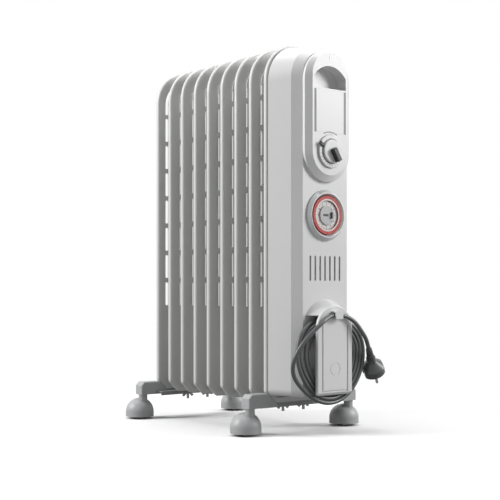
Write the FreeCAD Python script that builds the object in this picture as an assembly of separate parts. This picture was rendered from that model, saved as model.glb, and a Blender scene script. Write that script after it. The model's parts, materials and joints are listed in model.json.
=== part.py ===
import FreeCAD, Part
import math
import os

# Oil filled radiator heater: nine steel fins on two oil headers, a plastic control housing on
# the front, a cord wrap below the controls and four twin-wheel castors on two crossbars.
# Millimetres. X is the width, -Y is the control side, +Z is up. The origin is on the floor,
# under the middle of the heater's box without its free cord.

Vec = FreeCAD.Vector

# ---------------------------------------------------------------- driving dimensions
# fins
FIN_COUNT = 9
FIN_PITCH = 38.7
FIN_HALF_WIDTH = 79.0
FIN_TOP_Z = 640.0
FIN_BOTTOM_Z = 50.0
FIN_TOP_RADIUS = 62.0
FIN_BOTTOM_CUT = 19.0          # 45 degree cut across each lower corner
FIN_CUT_RADIUS = 9.0
FIN_SHEET = 1.2
HEM_DEPTH = 9.4                # rolled edge, front to back
HEM_REACH = 9.0                # rolled edge, inwards from the outline
HEM_ROUND = 4.0
# air slots in each fin
SLOT_WIDTH = 5.4
SLOT_FROM_EDGE = 21.5          # slot centre line to the fin's outline
SLOT_LENGTH = 43.0
SLOT_PITCH = 50.6
SLOT_COUNT = 7
SLOT_TOP_END_Z = 553.0
SLOT_CURVED_START_Z = 560.0
SLOT_CURVED_TURN = 41.0        # degrees of the corner that the top slot follows
# oil passage
CHAMBER_HALF_WIDTH = 41.0
CHAMBER_DEPTH = 12.0
CHAMBER_RADIUS = 30.0
CHAMBER_BOTTOM_Z = 84.0
CHAMBER_TOP_Z = 606.0
HEADER_LOW_Z = 118.0
HEADER_HIGH_Z = 572.0
HEADER_RADIUS = 20.0
HEADER_WALL = 1.5
HEADER_STUB = 6.0              # end collar that stands out of the last fin
OIL_CLEARANCE = 0.3
FILLER_RADIUS = 7.0
FILLER_LENGTH = 7.0
FILLER_CHAMFER = 1.5
# heating element
ROD_RADIUS = 4.0
ROD_OFFSET = 8.0
ROD_REACH_SHORT = 14.0         # hairpin end to the first fin
ELEMENT_HEX_RADIUS = 24.0
ELEMENT_HEX_DEPTH = 6.0
TERMINAL_LENGTH = 10.0
TERMINAL_WIDTH = 6.3
TERMINAL_SHEET = 0.8
# thermal cut-out and terminal block
CUTOUT_RADIUS = 8.0
CUTOUT_DEPTH = 9.0
CUTOUT_X = 38.0
CUTOUT_Z = 158.0
CUTOUT_TAB_X = 5.0
CUTOUT_TAB_HALF = 1.5
CUTOUT_TAB_LENGTH = 8.0
BLOCK_X = (-20.0, 14.0)
BLOCK_SIDE = 16.0
BLOCK_Z = 178.0
BLOCK_WAYS = 3
BLOCK_PITCH = 11.0
BLOCK_SCREW_RADIUS = 2.5
BLOCK_WIRE_RADIUS = 2.0
# control housing
HOUSING_GAP = 4.0              # behind the housing, to the last fin's rolled edge
HOUSING_BOTTOM_Z = 63.0
HOUSING_REAR_TOP_Z = 636.0
HOUSING_SIDE_DEPTH = 37.0
HOUSING_SIDE_HALF = 62.0
HOUSING_SIDE_TOP_Z = 631.0
HOUSING_FACET_DEPTH = 13.7
HOUSING_SIDE_FLAT = 8.0        # half the level stretch along the top, at the side section
FRONT_FLAT = 4.0               # and at the front
HOUSING_CORNER = 12.0
HOUSING_WALL = 2.5
FRONT_HALF = 49.0
FRONT_TOP_Z = 624.0
# control pod
KNOB_Z = 460.0
POD_SIDE = 5.0
POD_PROUD = 12.0
POD_PLATE_HALF = 38.5
POD_PLATE_TOP_Z = 620.0
POD_WALL = 2.5
POD_GAP = 0.3
RECESS_HALF = 35.0
RECESS_BOTTOM_Z = 562.0
RECESS_TOP_Z = 598.5
RECESS_ARCH_RADIUS = 43.0
RECESS_DEPTH = 22.0
LABEL_HALF = 30.5
LABEL_BOTTOM_Z = 490.0
LABEL_SHEET = 0.8
GROOVE_WIDTH = 4.3
GROOVE_DEPTH = 1.8
LAMP_Z = 613.0
LAMP_HEIGHT = 9.0
LAMP_WIDTH = 2.4
LAMP_DEPTH = 9.0
LAMP_PROUD = 0.2
# thermostat knob, power selector and their bodies
RUNNING_FIT = 0.05
SPINDLE_RADIUS = 3.0
SELECTOR_RADIUS = 26.8
SELECTOR_INNER = 19.8
SELECTOR_WEB = 1.5
SELECTOR_HEIGHT = 3.2
SELECTOR_SOFT = 1.0
SELECTOR_END_GAP = 0.4
SELECTOR_HUB_RADIUS = 9.0
SELECTOR_HUB_BORE = 4.0
DIAL_GROOVE_WIDTH = 1.4         # groove in the pod round the selector
DIAL_GROOVE_DEPTH = 1.0
TAB_ANGLE = 155.0
TAB_WIDTH = 6.0
TAB_PROUD = 3.0
TAB_INSET = 0.6
TAB_OVERHANG = 2.0
TAB_SOFT = 1.2
KNOB_RADIUS = 19.0
KNOB_LIFT = 0.6
KNOB_THICK = 4.5
KNOB_SOFT = 1.8
GRIP_PROUD = 8.5
GRIP_WIDTH = 9.0
GRIP_ANGLE = -58.0
GRIP_END = 18.5
GRIP_SOFT = 1.5
SPINDLE_SEAT = 3.0             # depth of the spindle inside the knob
SPINDLE_DEPTH = 12.0           # and behind the housing's front
SPINDLE_END_GAP = 0.5
SWITCH_RADIUS = 23.0
THERMOSTAT_HALF = 21.0
THERMOSTAT_DEPTH = 24.0
# timer
TIMER_Z = 357.0
TIMER_BEZEL_RADIUS = 41.5
TIMER_BEZEL_PROUD = 7.5
TIMER_BEZEL_CHAMFER = 5.0
TIMER_OPENING = 32.5
TIMER_LIP_RADIUS = 35.5        # inner edge of the bezel's flat lip
TIMER_LIP_SLOPE = 4.0          # depth of the cone inside it
TIMER_SETBACK = 1.0            # how far the clockwork's case stands out of the housing
TIMER_BODY_RADIUS = 31.8
TIMER_BODY_DEPTH = 34.0
TAPPET_RADIUS = 31.2
TAPPET_INNER = 24.0
TAPPET_COUNT = 48
TAPPET_GAP = 0.9
TAPPET_HEIGHT = 4.6
DIAL_WEB = 2.0
TIMER_POST_RADIUS = 3.0
CENTRE_RADIUS = 16.0
CENTRE_SHEET = 2.0
CENTRE_SOFT = 0.6
MODE_PIN_RADIUS = 1.5
MODE_OFFSET = 8.5
MODE_HALF_LENGTH = 5.5
MODE_WIDTH = 4.6
MODE_PROUD = 2.4
# air vents
VENT_COUNT = 7
VENT_PITCH = 10.8
VENT_WIDTH = 3.5
VENT_LOW_Z = 250.0
VENT_HIGH_Z = 291.0
# slots in the steel back panel
BACK_SLOT_ROWS = 3
BACK_SLOT_COLUMNS = 4
BACK_SLOT_FIRST_X = 18.0
BACK_SLOT_PITCH_X = 12.0
BACK_SLOT_LOW_Z = 200.0
BACK_SLOT_PITCH_Z = 120.0
BACK_SLOT_WIDTH = 4.0
BACK_SLOT_LENGTH = 60.0
# cord wrap
WRAP_CENTRE_Z = 172.5
WRAP_HOOD_BASE = 48.0
WRAP_HOOD_SHEET = 3.0
WRAP_HOOD_RISE = 22.0           # the hood's lower edge above the wrap's centre
FLANGE_HALF = 38.5
FLANGE_BOTTOM_Z = 66.0
FLANGE_PROUD = 24.0
FLANGE_SHEET = 5.0
NECK_RADIUS = 20.0
NECK_LOW_Z = 118.0
NECK_HIGH_Z = 146.0
PANEL_HALF = 26.0
PANEL_GROOVE = 3.0
PANEL_GROOVE_DEPTH = 2.2
PANEL_GROOVE_LOW = 5.0          # above the flange's lower edge
PANEL_GROOVE_HIGH = 6.0         # above the wrap's centre
FLANGE_CORNER = 5.0
FLANGE_SOFT = 2.0
FLANGE_BEVEL = 4.0
EMBLEM_RADIUS = 11.0
EMBLEM_Z = 108.0
EMBLEM_RING = 1.0
EMBLEM_DEPTH = 0.5
CLIP_Z = 195.0
CLIP_HALF = 8.0
CLIP_CLEARANCE = 0.8
CLIP_SHEET = 2.0
CLIP_REACH = 8.4
# crossbars, arms and castors
STEM_X = 110.0
BAR_TOP_Z = FIN_BOTTOM_Z
BAR_DEPTH_Z = 7.0
BAR_SHEET = 2.0
BAR_HALF_LENGTH = 88.0
BAR_INNER_REACH = 28.0         # from the end fin towards the middle of the heater
BAR_OUTER_REACH = 15.0
BAR_FRONT_REACH = 2.0
BAR_GAP = 0.3
ARM_HALF_DEPTH = 10.5
ARM_OUTER_X = 119.5
ARM_INNER_X = 60.0
ARM_TOP_Z = 67.5
ARM_BOTTOM_Z = 44.5
ARM_LIFT_GAP = 2.2
ARM_CHAMFER = 6.0
ARM_SOFT = 2.5
STEM_RADIUS = 4.0
STEM_TOP_Z = 61.0
CASTOR_TRAIL = 10.6
HOOD_RADIUS = 25.5
HOOD_WALL = 2.0
HOOD_BOTTOM_Z = 4.0
HOOD_TOP_Z = 37.5
HOOD_SOFT = 24.0
HOOD_BOSS_RADIUS = 8.0
HOOD_BOSS_GAP = 0.4
WEB_HALF = 6.0
AXLE_RADIUS = 2.0
WHEEL_RADIUS = 15.0
WHEEL_WIDTH = 6.0
WHEEL_OFFSET = 10.3
WHEEL_TREAD_ROUND = 1.0
UBOLT_ROD = 2.5
UBOLT_GAP = 0.3
UBOLT_END_Z = 33.0
HOLE_CLEARANCE = 0.3
WING_HUB_RADIUS = 5.0
WING_HUB_HEIGHT = 6.0
WING_SPAN = 13.0
WING_SHEET = 2.4
WING_HEIGHT = 11.0
WING_ROOT = 1.5
WING_TIP = 4.0
# cord, gland and plug
CORD_RADIUS = 3.5
GLAND_RADIUS = 6.0
GLAND_SEAT = 8.0               # length inside the neck
GLAND_NOSE = 20.0              # tapered length outside it
GLAND_Z = 132.0
GLAND_TIP_WALL = 0.8
GLAND_PROUD = 7.5
COIL_DEPTH = 16.5
COIL_GAP = 1.2                 # to the housing's front, to the flange and to the neck
COIL_LEFT = 83.8
COIL_RIGHT = 76.8
COIL_UP = 61.0
COIL_DOWN = 82.8
COIL_ROUND = 50.0
COIL_SOFT = 6.0
PIN_RADIUS = 2.4
PIN_LENGTH = 19.0
PIN_HALF_SPACING = 9.5
PIN_SEAT = 5.0
PIN_SEAT_RADIUS = 1.8
PIN_TIP_ROUND = 1.9
PLUG_RADIUS = 20.0
PLUG_DISC = 11.5
PLUG_FLARE = 12.0
PLUG_NECK_RADIUS = 8.0
PLUG_NECK = 8.0
PLUG_TAB_HALF = 3.0
PLUG_TAB_REACH = 3.0
PLUG_TAB_START = 1.0
PLUG_TAB_LENGTH = 5.0
PLUG_NOTCH_WIDTH = 6.0         # the two earth notches in the disc's sides
PLUG_NOTCH_DEPTH = 4.0
PLUG_FLAT = 17.0               # half the width across the flats on the plug's two sides
PLUG_AXIS = Vec(0.555, 0.33, -0.763)
RELIEF_LENGTH = 20.0
RELIEF_TIP_RADIUS = 5.0
RELIEF_BASE_RADIUS = 6.5
RELIEF_GROOVES = 5
RELIEF_GROOVE = 1.4
RELIEF_CORE = 0.8              # wall round the cord under the grooves
# the cord's last stretch, from the coil through the clip to the plug
TAIL_ROUTE = [
    (-77.0, -195.3, 94.0), (-84.5, -200.0, 119.0), (-76.0, -207.0, 143.0), (-60.0, -215.0, 165.0),
    (-37.0, -219.0, 184.0), (-14.0, -213.5, 195.0), (15.0, -213.5, 195.0), (36.0, -216.5, 185.0),
    (48.5, -220.5, 168.4), (59.5, -221.9, 152.9), (69.2, -216.3, 138.3),
]

# ---------------------------------------------------------------- places worked out from them
KNOB_FRONT = POD_PROUD + SELECTOR_WEB + KNOB_LIFT + KNOB_THICK + GRIP_PROUD
CLIP_FRONT = FLANGE_PROUD + CLIP_REACH + CLIP_SHEET
FIN_RUN = (FIN_COUNT - 1) * FIN_PITCH
HOUSING_REAR = FIN_RUN + HEM_DEPTH / 2 + HOUSING_GAP
HOUSING_FRONT = HOUSING_REAR + HOUSING_SIDE_DEPTH + HOUSING_FACET_DEPTH
FRONT_REACH = HOUSING_FRONT + max(KNOB_FRONT, CLIP_FRONT)
REAR_REACH = CASTOR_TRAIL + HOOD_RADIUS
FIN_1_Y = (FRONT_REACH - REAR_REACH) / 2
FIN_LAST_Y = FIN_1_Y - FIN_RUN
REAR_Y = FIN_1_Y - HOUSING_REAR
SIDE_Y = REAR_Y - HOUSING_SIDE_DEPTH
FRONT_Y = FIN_1_Y - HOUSING_FRONT
INNER_FRONT_Y = FRONT_Y + HOUSING_WALL
POD_STEP_Y = FRONT_Y - POD_SIDE
PLATE_Y = FRONT_Y - POD_PROUD
FLANGE_Y = FRONT_Y - FLANGE_PROUD
FLANGE_TOP_Z = WRAP_CENTRE_Z + FLANGE_HALF
ELEMENT_Y = FIN_LAST_Y - CHAMBER_DEPTH / 2 - HEADER_STUB
GLAND_Y = FRONT_Y - GLAND_PROUD

BIG = 400.0


# ---------------------------------------------------------------- shape helpers
def box(x0, x1, y0, y1, z0, z1):
    """A block between two corners."""
    return Part.makeBox(x1 - x0, y1 - y0, z1 - z0, Vec(x0, y0, z0))


def rod(radius, length, start, axis):
    """A round rod from a start point along an axis."""
    return Part.makeCylinder(radius, length, start, axis)


def rod_y(radius, x, z, y_back, y_front):
    """A round rod along Y between two depths."""
    return rod(radius, y_back - y_front, Vec(x, y_front, z), Vec(0, 1, 0))


def ring_y(outer, inner, x, z, y_back, y_front):
    """A ring about a line along Y."""
    return rod_y(outer, x, z, y_back, y_front).cut(rod_y(inner, x, z, y_back + 1, y_front - 1))


def cone_y(radius_back, radius_front, x, z, y_back, y_front):
    """A cone about a line along Y."""
    return Part.makeCone(radius_front, radius_back, y_back - y_front, Vec(x, y_front, z), Vec(0, 1, 0))


def rounded_wire(corners, y):
    """A closed outline in the plane at depth y, from (x, z, corner radius) in order."""
    count = len(corners)
    entries = []
    for i, (x, z, radius) in enumerate(corners):
        here = Vec(x, y, z)
        back = Vec(corners[i - 1][0], y, corners[i - 1][1]) - here
        ahead = Vec(corners[(i + 1) % count][0], y, corners[(i + 1) % count][1]) - here
        back.normalize()
        ahead.normalize()
        if radius <= 0:
            entries.append((here, None, here))
            continue
        half = back.getAngle(ahead) / 2
        trim = radius / math.tan(half)
        bisector = back + ahead
        bisector.normalize()
        middle = here + bisector * (radius / math.sin(half) - radius)
        entries.append((here + back * trim, middle, here + ahead * trim))
    edges = []
    for i, (start, middle, end) in enumerate(entries):
        if middle is not None:
            edges.append(Part.Arc(start, middle, end).toShape())
        following = entries[(i + 1) % count][0]
        if end.distanceToPoint(following) > 1e-6:
            edges.append(Part.LineSegment(end, following).toShape())
    return Part.Wire(edges)


def slab(corners, y_back, y_front):
    """A plate of a rounded outline between two depths."""
    return Part.Face(rounded_wire(corners, y_front)).extrude(Vec(0, y_back - y_front, 0))


def fin_outline(inset=0.0):
    """The fin's outline, moved inwards by an inset."""
    half = FIN_HALF_WIDTH - inset
    low = FIN_BOTTOM_Z + inset
    cut = FIN_BOTTOM_CUT - inset * (2 - math.sqrt(2))
    soft = FIN_CUT_RADIUS - inset * math.tan(math.pi / 8)
    soft = max(soft, 1.0)
    top = FIN_TOP_Z - inset
    round_top = FIN_TOP_RADIUS - inset
    return [(-half + cut, low, soft), (half - cut, low, soft), (half, low + cut, soft),
            (half, top, round_top), (-half, top, round_top), (-half, low + cut, soft)]


def arch_outline(half, low, top, low_radius, top_radius):
    """An upright outline with rounded upper and lower corners."""
    return [(-half, low, low_radius), (half, low, low_radius),
            (half, top, top_radius), (-half, top, top_radius)]


def edges_at(shape, y):
    """The edges that lie in the plane at depth y."""
    return [edge for edge in shape.Edges if edge.BoundBox.YLength < 1e-6
            and abs(edge.BoundBox.YMin - y) < 1e-6]


def stadium(half, low_centre, high_centre):
    """An upright outline with round ends."""
    low = low_centre - half
    high = high_centre + half
    nearly = half - 0.01
    return arch_outline(half, low, high, nearly, nearly)


def loft(sections):
    """A ruled solid through (corners, y) sections."""
    return Part.makeLoft([rounded_wire(corners, y) for corners, y in sections], True, True)


def export(name, *solids):
    """One STEP file per node: a single solid, or a group of separate ones."""
    shapes = []
    for shape in solids:
        shapes.extend(shape.Solids)
    result = shapes[0] if len(shapes) == 1 else Part.makeCompound(shapes)
    result.exportStep("parts/" + name + ".step")
    volume = sum(solid.Volume for solid in shapes)
    valid = all(solid.isValid() for solid in shapes)
    print(f"{name:28s} solids {len(shapes):2d} volume {volume / 1000:9.1f} cm3 valid {valid}")


# ---------------------------------------------------------------- fins and oil circuit
def air_slots(depth_back, depth_front):
    """Cutters for one fin's air slots, on both sides."""
    cutters = []
    middle = FIN_HALF_WIDTH - SLOT_FROM_EDGE
    half = SLOT_WIDTH / 2
    for index in range(SLOT_COUNT):
        top = SLOT_TOP_END_Z - index * SLOT_PITCH
        for side in (-1, 1):
            corners = arch_outline(half, top - SLOT_LENGTH, top, half - 0.01, half - 0.01)
            moved = [(x + side * middle, z, radius) for x, z, radius in corners]
            cutters.append(slab(moved, depth_back, depth_front))
    centre_x = FIN_HALF_WIDTH - FIN_TOP_RADIUS
    centre_z = FIN_TOP_Z - FIN_TOP_RADIUS
    bend = FIN_TOP_RADIUS - SLOT_FROM_EDGE
    turn = math.radians(SLOT_CURVED_TURN)
    for side in (-1, 1):
        straight = box(side * middle - half, side * middle + half, depth_front, depth_back,
                       SLOT_CURVED_START_Z, centre_z)
        centre = Vec(side * centre_x, depth_front, centre_z)
        curved = ring_y(bend + half, bend - half, side * centre_x, centre_z, depth_back, depth_front)
        far = 2 * FIN_TOP_RADIUS
        keep = Part.Face(Part.makePolygon([
            centre,
            centre + Vec(side * far, 0, 0),
            centre + Vec(side * far, 0, far * math.tan(turn)),
            centre])).extrude(Vec(0, depth_back - depth_front, 0))
        cutters.append(straight.fuse(curved.common(keep)).removeSplitter())
    return cutters


def chamber_outline(inset):
    """The oil chamber's outline, moved inwards by an inset."""
    return arch_outline(CHAMBER_HALF_WIDTH - inset, CHAMBER_BOTTOM_Z + inset, CHAMBER_TOP_Z - inset,
                        CHAMBER_RADIUS - inset, CHAMBER_RADIUS - inset)


def header_wall_to(y_back, y_front, z):
    """The bore of one header between two depths."""
    return rod_y(HEADER_RADIUS - HEADER_WALL, 0, z, y_back, y_front)


def make_fin(index):
    """A fin: a sheet with a rolled edge, and a hollow oil chamber in the middle."""
    y = FIN_1_Y - index * FIN_PITCH
    half_hem = HEM_DEPTH / 2
    half_sheet = FIN_SHEET / 2
    outer = slab(fin_outline(), y + half_hem, y - half_hem)
    rims = [edge for edge in outer.Edges if abs(edge.BoundBox.YLength) < 1e-6]
    outer = outer.makeFillet(HEM_ROUND, rims)
    hollow = slab(fin_outline(FIN_SHEET), y + half_hem - FIN_SHEET, y - half_hem + FIN_SHEET)
    mouth = slab(fin_outline(HEM_REACH), y + half_hem + 1, y - half_hem - 1)
    hem = outer.cut(hollow).cut(mouth)
    sheet = slab(fin_outline(FIN_SHEET / 2), y + half_sheet, y - half_sheet)
    half_chamber = CHAMBER_DEPTH / 2
    chamber = slab(chamber_outline(0), y + half_chamber, y - half_chamber)
    fin = hem.fuse(sheet).fuse(chamber)
    oil_room = slab(chamber_outline(FIN_SHEET), y + half_chamber - FIN_SHEET,
                    y - half_chamber + FIN_SHEET)
    fin = fin.cut(oil_room)
    back = y + half_chamber + 1 if index > 0 else y
    front = y - half_chamber - 1
    for header_z in (HEADER_LOW_Z, HEADER_HIGH_Z):
        last_high = index == FIN_COUNT - 1 and header_z == HEADER_HIGH_Z
        fin = fin.cut(header_wall_to(back, y if last_high else front, header_z))
    if index == 0:
        fin = fin.cut(rod_y(FILLER_RADIUS - FIN_SHEET, 0, HEADER_HIGH_Z, y + half_chamber + 1, y))
    return fin.cut(Part.makeCompound(air_slots(y + 2, y - 2)))


def make_header(z, with_stub):
    """The row of collars between the fins, with the end collar that takes the element."""
    collars = []
    for index in range(FIN_COUNT - 1):
        back = FIN_1_Y - index * FIN_PITCH - CHAMBER_DEPTH / 2
        front = back - FIN_PITCH + CHAMBER_DEPTH
        collars.append(ring_y(HEADER_RADIUS, HEADER_RADIUS - HEADER_WALL, 0, z, back, front))
    if with_stub:
        back = FIN_LAST_Y - CHAMBER_DEPTH / 2
        collars.append(ring_y(HEADER_RADIUS, HEADER_RADIUS - HEADER_WALL, 0, z, back, ELEMENT_Y))
    return collars


def make_filler_plug():
    """The crimped plug on the rear fin, where the oil went in."""
    back = FIN_1_Y + CHAMBER_DEPTH / 2
    shank = rod_y(FILLER_RADIUS - FIN_SHEET, 0, HEADER_HIGH_Z, back, back - FIN_SHEET)
    head = rod_y(FILLER_RADIUS, 0, HEADER_HIGH_Z, back + FILLER_LENGTH, back)
    head = head.makeChamfer(FILLER_CHAMFER, edges_at(head, back + FILLER_LENGTH))
    return head.fuse(shank)


def make_heating_element():
    """A hairpin rod in the lower header, its hexagon head and two terminals."""
    tail = FIN_1_Y - ROD_REACH_SHORT
    bend_y = tail - ROD_OFFSET
    solid = None
    for side in (-1, 1):
        leg = rod_y(ROD_RADIUS, side * ROD_OFFSET, HEADER_LOW_Z, bend_y, ELEMENT_Y)
        solid = leg if solid is None else solid.fuse(leg)
    bend = Part.makeTorus(ROD_OFFSET, ROD_RADIUS, Vec(0, bend_y, HEADER_LOW_Z), Vec(0, 0, 1))
    bend = bend.common(box(-BIG, BIG, bend_y, bend_y + BIG, 0, BIG))
    solid = solid.fuse(bend)
    points = [Vec(ELEMENT_HEX_RADIUS * math.cos(math.radians(60 * k)), ELEMENT_Y,
                  HEADER_LOW_Z + ELEMENT_HEX_RADIUS * math.sin(math.radians(60 * k)))
              for k in range(7)]
    head = Part.Face(Part.makePolygon(points)).extrude(Vec(0, -ELEMENT_HEX_DEPTH, 0))
    solid = solid.fuse(head)
    tip = ELEMENT_Y - ELEMENT_HEX_DEPTH
    for side in (-1, 1):
        x = side * ROD_OFFSET
        blade = box(x - TERMINAL_WIDTH / 2, x + TERMINAL_WIDTH / 2, tip - TERMINAL_LENGTH, tip,
                    HEADER_LOW_Z - TERMINAL_SHEET / 2, HEADER_LOW_Z + TERMINAL_SHEET / 2)
        solid = solid.fuse(blade)
    return solid


def make_oil(element):
    """The oil charge, a film short of the walls and of the element."""
    gap = OIL_CLEARANCE
    inset = FIN_SHEET + gap
    parts = []
    for index in range(FIN_COUNT):
        y = FIN_1_Y - index * FIN_PITCH
        half = CHAMBER_DEPTH / 2 - inset
        parts.append(slab(chamber_outline(inset), y + half, y - half))
    bore = HEADER_RADIUS - HEADER_WALL - gap
    for z in (HEADER_LOW_Z, HEADER_HIGH_Z):
        parts.append(rod_y(bore, 0, z, FIN_1_Y, FIN_LAST_Y))
    oil = parts[0].multiFuse(parts[1:])
    room = ROD_OFFSET + ROD_RADIUS + gap
    channel = box(-room, room, ELEMENT_Y - 1, FIN_1_Y - ROD_REACH_SHORT + ROD_RADIUS + gap,
                  HEADER_LOW_Z - ROD_RADIUS - gap, HEADER_LOW_Z + ROD_RADIUS + gap)
    return oil.cut(channel)


# ---------------------------------------------------------------- control housing
def housing_sections(inset):
    """Outlines of the housing from its rear edge to its flat front."""
    low = HOUSING_BOTTOM_Z + inset
    slope = inset * 1.2
    return [
        (arch_outline(FIN_HALF_WIDTH - inset, low, HOUSING_REAR_TOP_Z - inset,
                      HOUSING_CORNER, FIN_TOP_RADIUS - inset), REAR_Y),
        (arch_outline(HOUSING_SIDE_HALF - slope, low, HOUSING_SIDE_TOP_Z - slope,
                      HOUSING_CORNER, HOUSING_SIDE_HALF - slope - HOUSING_SIDE_FLAT), SIDE_Y),
        (arch_outline(FRONT_HALF - slope, low, FRONT_TOP_Z - slope,
                      HOUSING_CORNER, FRONT_HALF - slope - FRONT_FLAT), FRONT_Y + inset),
    ]


def recess_outline(spare=0.0):
    """The handle recess: flat below, arched above."""
    half = RECESS_HALF + spare
    low = RECESS_BOTTOM_Z - spare
    top = RECESS_TOP_Z + spare
    arch = RECESS_ARCH_RADIUS + spare
    shoulder = top - arch + math.sqrt(arch * arch - half * half)
    return half, low, shoulder, top


def recess_solid(spare, y_back, y_front):
    """The recess as a solid between two depths, larger all round by a spare."""
    half, low, shoulder, top = recess_outline(spare)
    corner = [Vec(-half, y_front, shoulder), Vec(-half, y_front, low),
              Vec(half, y_front, low), Vec(half, y_front, shoulder)]
    edges = [Part.LineSegment(corner[i], corner[i + 1]).toShape() for i in range(3)]
    edges.append(Part.Arc(corner[3], Vec(0, y_front, top), corner[0]).toShape())
    return Part.Face(Part.Wire(edges)).extrude(Vec(0, y_back - y_front, 0))


def make_housing():
    """The moulded shell, open at the rear, with holes for what passes through its front."""
    sections = housing_sections(HOUSING_WALL)
    rear_corners, rear_y = sections[0]
    sections.insert(0, (rear_corners, rear_y + 1))
    shell = loft(housing_sections(0)).cut(loft(sections))
    holes = [
        recess_solid(POD_WALL + POD_GAP, INNER_FRONT_Y + 1, FRONT_Y - 1),
        rod_y(SELECTOR_HUB_RADIUS + 1, 0, KNOB_Z, INNER_FRONT_Y + 1, FRONT_Y - 1),
        rod_y(TIMER_BODY_RADIUS + POD_GAP, 0, TIMER_Z, INNER_FRONT_Y + 1, FRONT_Y - 1),
    ]
    for index in range(VENT_COUNT):
        x = (index - (VENT_COUNT - 1) / 2) * VENT_PITCH
        half = VENT_WIDTH / 2
        corners = [(x + dx, z, radius) for dx, z, radius in
                   arch_outline(half, VENT_LOW_Z, VENT_HIGH_Z, half - 0.01, half - 0.01)]
        holes.append(slab(corners, INNER_FRONT_Y + 1, FRONT_Y - 1))
    return shell.cut(Part.makeCompound(holes))


def make_back_panel():
    """The steel sheet that closes the housing against the last fin."""
    inset = HOUSING_WALL + POD_GAP
    corners = arch_outline(FIN_HALF_WIDTH - inset, HOUSING_BOTTOM_Z + inset,
                           HOUSING_REAR_TOP_Z - inset, HOUSING_CORNER, FIN_TOP_RADIUS - inset)
    # the shell narrows forwards, so the panel's front edge sets its size
    narrow = (FIN_HALF_WIDTH - HOUSING_SIDE_HALF) / HOUSING_SIDE_DEPTH * FIN_SHEET + POD_GAP
    corners = [(x - math.copysign(narrow, x), z - (narrow if z > KNOB_Z else 0), radius)
               for x, z, radius in corners]
    panel = slab(corners, REAR_Y, REAR_Y - FIN_SHEET)
    panel = panel.cut(rod_y(HEADER_RADIUS + POD_GAP, 0, HEADER_LOW_Z, REAR_Y + 1, REAR_Y - FIN_SHEET - 1))
    vents = []
    half = BACK_SLOT_WIDTH / 2
    for row in range(BACK_SLOT_ROWS):
        z = BACK_SLOT_LOW_Z + BACK_SLOT_PITCH_Z * row
        for column in range(BACK_SLOT_COLUMNS):
            for side in (-1, 1):
                x = side * (BACK_SLOT_FIRST_X + BACK_SLOT_PITCH_X * column)
                vents.append(box(x - half, x + half, REAR_Y - FIN_SHEET - 1, REAR_Y + 1,
                                 z, z + BACK_SLOT_LENGTH))
    return panel.cut(Part.makeCompound(vents))


def make_pod():
    """The raised control pod with the handle pocket moulded into it."""
    top_centre = FRONT_TOP_Z - FRONT_HALF
    base = stadium(FRONT_HALF, KNOB_Z, top_centre)
    plate = stadium(POD_PLATE_HALF, KNOB_Z, POD_PLATE_TOP_Z - POD_PLATE_HALF)
    outer = loft([(base, FRONT_Y), (base, POD_STEP_Y), (plate, PLATE_Y)])
    wall = POD_WALL
    inner_base = stadium(FRONT_HALF - wall, KNOB_Z, top_centre)
    inner_plate = stadium(POD_PLATE_HALF - wall, KNOB_Z, POD_PLATE_TOP_Z - POD_PLATE_HALF)
    inner = loft([(inner_base, FRONT_Y + 1), (inner_base, POD_STEP_Y + wall / 2),
                  (inner_plate, PLATE_Y + wall)])
    shell = outer.cut(inner)
    pocket_back = PLATE_Y + RECESS_DEPTH
    cup = recess_solid(POD_WALL, pocket_back + POD_WALL, PLATE_Y + 0.5)
    shell = shell.fuse(cup.common(outer.fuse(box(-BIG, BIG, FRONT_Y, BIG, 0, FIN_TOP_Z))))
    shell = shell.cut(recess_solid(0, pocket_back, PLATE_Y - 1))
    shell = shell.cut(rod_y(SELECTOR_HUB_RADIUS + RUNNING_FIT, 0, KNOB_Z, PLATE_Y + wall + 1, PLATE_Y - 1))
    label = box(-LABEL_HALF, LABEL_HALF, PLATE_Y - 1, PLATE_Y + LABEL_SHEET, LABEL_BOTTOM_Z,
                RECESS_BOTTOM_Z - POD_WALL)
    shell = shell.cut(label)
    for side in (-1, 1):
        x = side * (LABEL_HALF + GROOVE_WIDTH / 2)
        shell = shell.cut(box(x - GROOVE_WIDTH / 2, x + GROOVE_WIDTH / 2, PLATE_Y - 1,
                              PLATE_Y + GROOVE_DEPTH, LABEL_BOTTOM_Z, RECESS_BOTTOM_Z - POD_WALL))
    shell = shell.cut(ring_y(SELECTOR_RADIUS + DIAL_GROOVE_WIDTH, SELECTOR_RADIUS, 0, KNOB_Z,
                             PLATE_Y + DIAL_GROOVE_DEPTH, PLATE_Y - 1))
    return shell.cut(lamp_block(0.1))


def lamp_block(spare):
    """The pilot lamp's lens, larger all round by a spare."""
    half = LAMP_WIDTH / 2 + spare
    tall = LAMP_HEIGHT / 2 + spare
    return box(-half, half, PLATE_Y - LAMP_PROUD, PLATE_Y + LAMP_DEPTH + spare, LAMP_Z - tall, LAMP_Z + tall)


def make_label():
    """The bare label plate between the handle pocket and the knob."""
    gap = 0.15
    return box(-LABEL_HALF + gap, LABEL_HALF - gap, PLATE_Y, PLATE_Y + LABEL_SHEET,
               LABEL_BOTTOM_Z + gap, RECESS_BOTTOM_Z - POD_WALL - gap)


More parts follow.
